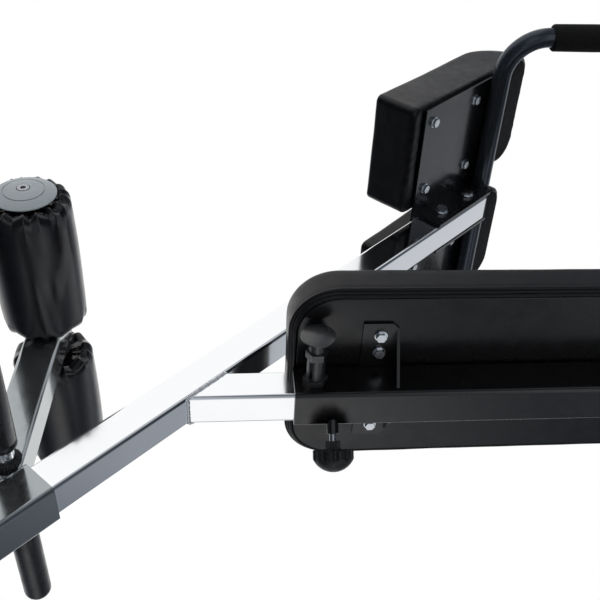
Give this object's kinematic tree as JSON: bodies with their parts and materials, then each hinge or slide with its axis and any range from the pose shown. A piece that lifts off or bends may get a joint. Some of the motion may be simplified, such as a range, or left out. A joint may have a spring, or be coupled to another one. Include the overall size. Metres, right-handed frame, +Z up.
{
  "type": "back extension bench",
  "caption": "Sloping back extension bench with a chrome beam, hip pads, foam handles, ankle rollers and a sliding flat bench held by a pull pin and clamp knob.",
  "frame": {"origin": "middle of the bounding box, on the floor", "axes": "+Z up; +X along the machine from the ankle rollers towards the bench's far end; +Y to the user's left when facing +X"},
  "size_m": [1.5076, 0.66, 1.0113],
  "materials": {
    "chrome": "mirror chrome plate",
    "weld": "rough plated weld bead",
    "gloss_paint": "gloss anthracite paint",
    "satin_paint": "satin black paint",
    "black_plastic": "moulded, fine texture",
    "grey_plastic": "satin moulded",
    "nylon": "plain nylon",
    "rubber": "satin rubber",
    "foam": "matte closed-cell foam",
    "leatherette": "grained leatherette",
    "board": "plain plywood",
    "steel": "bright turned steel",
    "zinc": "bright zinc plate"
  },
  "bodies": {
    "frame": {"main_beam": "chrome", "beam_cap": "black_plastic", "bench_stub": "chrome", "stub_weld": "weld", "lower_sleeve": "gloss_paint", "beam_liner": "nylon", "front_stabiliser": "gloss_paint", "front_caps": "black_plastic", "front_feet": "rubber", "roller_arm": "gloss_paint", "arm_cap": "grey_plastic", "roller_axle": "steel", "axle_screws": "steel", "foot_peg_rod": "chrome", "foot_peg_welds": "gloss_paint", "plate_bolts": "zinc", "beam_bolts": "zinc", "beam_nuts": "zinc", "right_foot_grip": "rubber", "right_hip_bracket": "gloss_paint", "right_hip_board": "board", "right_hip_pad": "leatherette", "right_handle": "gloss_paint", "right_hand_grip": "foam", "right_handle_cap": "black_plastic", "left_foot_grip": "rubber", "left_hip_bracket": "gloss_paint", "left_hip_board": "board", "left_hip_pad": "leatherette", "left_handle": "gloss_paint", "left_hand_grip": "foam", "left_handle_cap": "black_plastic"},
    "bench": {"bench_sleeve": "satin_paint", "sleeve_liner": "nylon", "sleeve_cap": "black_plastic", "bench_board": "board", "bench_pad": "leatherette", "bench_brackets": "satin_paint", "bench_bolts": "zinc", "rear_leg": "satin_paint", "rear_stabiliser": "satin_paint", "rear_caps": "black_plastic", "rear_feet": "rubber", "pin_housing": "black_plastic", "pin_spring": "steel", "clamp_boss": "satin_paint"},
    "right_roller": {"right_roller_cover": "leatherette", "right_roller_core": "black_plastic", "right_roller_cap": "grey_plastic"},
    "left_roller": {"left_roller_cover": "leatherette", "left_roller_core": "black_plastic", "left_roller_cap": "grey_plastic"},
    "plunger": {"pull_pin": "steel", "pin_knob": "black_plastic"},
    "clamp": {"clamp_screw": "steel", "clamp_knob": "black_plastic"}
  },
  "joints": [
    {"name": "bench_slide", "type": "slide", "parent": "frame", "child": "bench", "axis": [1, 0, 0], "range_m": [0, 0.12]},
    {"name": "pin_pull", "type": "slide", "parent": "bench", "child": "plunger", "axis": [0, -1, 0], "range_m": [0, 0.012], "stiffness_N_per_m": 600, "springref_m": -0.01, "deforming": ["pin_spring"]},
    {"name": "clamp_turn", "type": "hinge", "parent": "bench", "child": "clamp", "pos_m": [-0.18722, 0.03, 0.325], "axis": [0, 0.7071, -0.7071], "continuous": true},
    {"name": "right_roller_spin", "type": "hinge", "parent": "frame", "child": "right_roller", "pos_m": [-0.59422, -0.134, 0.498], "axis": [0, 1, 0], "continuous": true},
    {"name": "left_roller_spin", "type": "hinge", "parent": "frame", "child": "left_roller", "pos_m": [-0.59422, 0.134, 0.498], "axis": [0, 1, 0], "continuous": true}
  ]
}
